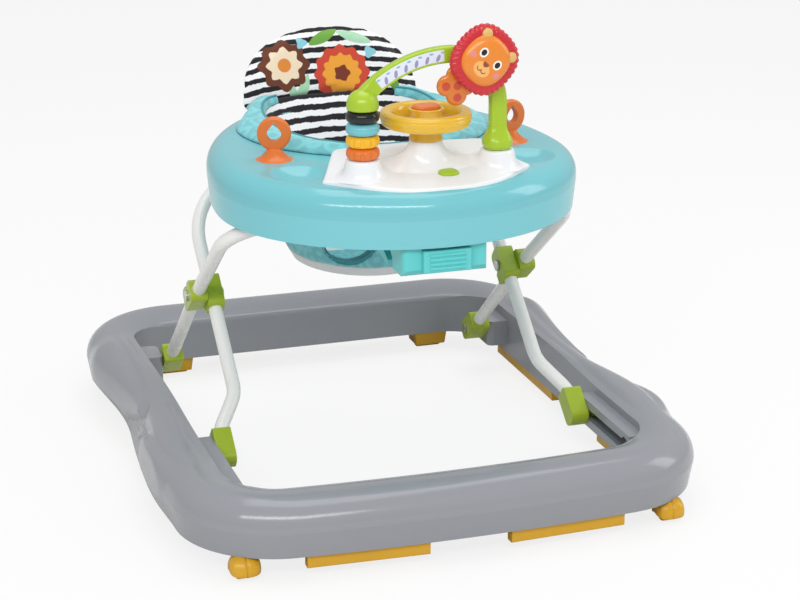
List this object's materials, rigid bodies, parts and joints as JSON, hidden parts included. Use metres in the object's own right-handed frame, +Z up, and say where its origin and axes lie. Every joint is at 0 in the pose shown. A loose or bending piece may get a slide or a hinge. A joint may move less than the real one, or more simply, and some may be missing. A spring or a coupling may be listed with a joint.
{
  "type": "baby walker",
  "caption": "Folding baby walker: moulded base ring on casters, scissor legs of bent steel tube, height-adjusted toy tray with steering wheel, arch and rings, and a padded sling seat.",
  "frame": {"origin": "on the floor, under the middle of the base ring", "axes": "-Y is the walking direction (front), +X is the rider's left, +Z is up"},
  "size_m": [0.611, 0.7297, 0.5527],
  "materials": {
    "base_grey": "moulded grey polypropylene, satin gloss",
    "amber": "moulded amber plastic, satin gloss",
    "white_tube": "white powder coat on steel tube",
    "lime": "moulded lime plastic",
    "teal": "moulded pale teal plastic, gloss",
    "white_shell": "moulded white plastic, gloss",
    "orange": "moulded orange plastic",
    "yellow": "moulded yellow plastic",
    "clear_yellow": "tinted translucent yellow plastic",
    "clear_orange": "tinted translucent orange plastic",
    "red": "moulded red plastic",
    "black": "moulded black plastic",
    "steel": "zinc plated steel",
    "silicone": "silicone contact dome",
    "striped_fabric": "printed polyester over foam",
    "teal_fabric": "teal polyester",
    "backboard": "teal plastic board"
  },
  "bodies": {
    "base": {"base_frame": "base_grey", "front_friction_strips": "amber", "side_friction_strips": "amber", "rear_friction_strips": "amber", "caster_bushes": "steel", "rear_wheel_cups": "amber", "rear_axles": "steel", "rear_foot_pins": "steel"},
    "caster_l": {"caster_fork_l": "amber", "caster_axle_l": "steel"},
    "caster_r": {"caster_fork_r": "amber", "caster_axle_r": "steel"},
    "caster_roller_l": {"caster_wheel_l": "amber"},
    "caster_roller_r": {"caster_wheel_r": "amber"},
    "rear_roller_l": {"rear_wheel_l": "amber"},
    "rear_roller_r": {"rear_wheel_r": "amber"},
    "rear_leg": {"rear_leg_tube": "white_tube", "rear_foot_l": "lime", "rear_foot_r": "lime", "pivot_outer_half_l": "lime", "pivot_outer_half_r": "lime", "pivot_rivets": "steel"},
    "front_leg": {"front_leg_tube": "white_tube", "front_foot_l": "lime", "front_foot_r": "lime", "slider_pins": "lime", "pivot_inner_half_l": "lime", "pivot_inner_half_r": "lime"},
    "tray": {"tray_upper": "teal", "tray_lower": "teal", "tray_screws": "steel", "crossbar_brackets": "teal", "adjuster_housing": "teal", "console": "white_shell", "button_dome": "silicone", "ring_spindle": "white_shell", "toy_arch": "lime", "lion_pin": "steel", "toy_loop_l": "orange", "toy_loop_r": "orange", "seat_back_pad": "striped_fabric", "seat_back_board": "backboard", "seat_sling": "teal_fabric"},
    "lever": {"adjuster_lever": "teal"},
    "button": {"console_button": "lime"},
    "wheel": {"steering_wheel": "clear_yellow"},
    "horn": {"horn_button": "orange"},
    "top_ring": {"ring_black": "black"},
    "third_ring": {"ring_teal": "teal"},
    "second_ring": {"ring_yellow": "yellow"},
    "low_ring": {"ring_orange": "orange"},
    "lion": {"lion_body": "clear_orange", "lion_mane": "red", "lion_face": "orange"}
  },
  "joints": [
    {"name": "fold", "type": "hinge", "parent": "base", "child": "rear_leg", "pos_m": [0, 0.205, 0.058], "axis": [1, 0, 0], "range_deg": [0, 33]},
    {"name": "scissor", "type": "hinge", "parent": "rear_leg", "child": "front_leg", "pos_m": [0, 0.04, 0.195], "axis": [1, 0, 0], "range_deg": [-66, 0]},
    {"name": "tray_level", "type": "hinge", "parent": "front_leg", "child": "tray", "pos_m": [0, 0.176, 0.30792], "axis": [1, 0, 0], "range_deg": [0, 33]},
    {"name": "caster_swivel_l", "type": "hinge", "parent": "base", "child": "caster_l", "pos_m": [0.243, -0.312, 0.04], "axis": [0, 0, 1], "continuous": true},
    {"name": "caster_roll_l", "type": "hinge", "parent": "caster_l", "child": "caster_roller_l", "pos_m": [0.243, -0.327, 0.011], "axis": [1, 0, 0], "continuous": true},
    {"name": "rear_roll_l", "type": "hinge", "parent": "base", "child": "rear_roller_l", "pos_m": [0.177, 0.316, 0.014], "axis": [1, 0, 0], "continuous": true},
    {"name": "caster_swivel_r", "type": "hinge", "parent": "base", "child": "caster_r", "pos_m": [-0.243, -0.312, 0.04], "axis": [0, 0, 1], "continuous": true},
    {"name": "caster_roll_r", "type": "hinge", "parent": "caster_r", "child": "caster_roller_r", "pos_m": [-0.243, -0.327, 0.011], "axis": [1, 0, 0], "continuous": true},
    {"name": "rear_roll_r", "type": "hinge", "parent": "base", "child": "rear_roller_r", "pos_m": [-0.177, 0.316, 0.014], "axis": [1, 0, 0], "continuous": true},
    {"name": "lever_pull", "type": "slide", "parent": "tray", "child": "lever", "axis": [0, -1, 0], "range_m": [0, 0.006], "stiffness_N_per_m": 400},
    {"name": "button_press", "type": "slide", "parent": "tray", "child": "button", "axis": [0, 0, -1], "range_m": [0, 0.002], "stiffness_N_per_m": 600},
    {"name": "steer", "type": "hinge", "parent": "tray", "child": "wheel", "pos_m": [0, -0.198, 0.424], "axis": [0, 0, 1], "continuous": true},
    {"name": "horn_press", "type": "slide", "parent": "wheel", "child": "horn", "axis": [0, 0, -1], "range_m": [0, 0.002], "stiffness_N_per_m": 600},
    {"name": "low_ring_spin", "type": "hinge", "parent": "tray", "child": "low_ring", "pos_m": [-0.076, -0.214, 0.432], "axis": [0, 0, 1], "continuous": true},
    {"name": "second_ring_spin", "type": "hinge", "parent": "tray", "child": "second_ring", "pos_m": [-0.076, -0.214, 0.432], "axis": [0, 0, 1], "continuous": true},
    {"name": "third_ring_spin", "type": "hinge", "parent": "tray", "child": "third_ring", "pos_m": [-0.076, -0.214, 0.432], "axis": [0, 0, 1], "continuous": true},
    {"name": "top_ring_spin", "type": "hinge", "parent": "tray", "child": "top_ring", "pos_m": [-0.076, -0.214, 0.432], "axis": [0, 0, 1], "continuous": true},
    {"name": "lion_spin", "type": "hinge", "parent": "tray", "child": "lion", "pos_m": [0.05233, -0.214, 0.51473], "axis": [0, -1, 0], "continuous": true}
  ],
  "couplings": [
    {"joint": "scissor", "follows": "fold", "ratio": -2},
    {"joint": "tray_level", "follows": "fold", "ratio": 1}
  ]
}
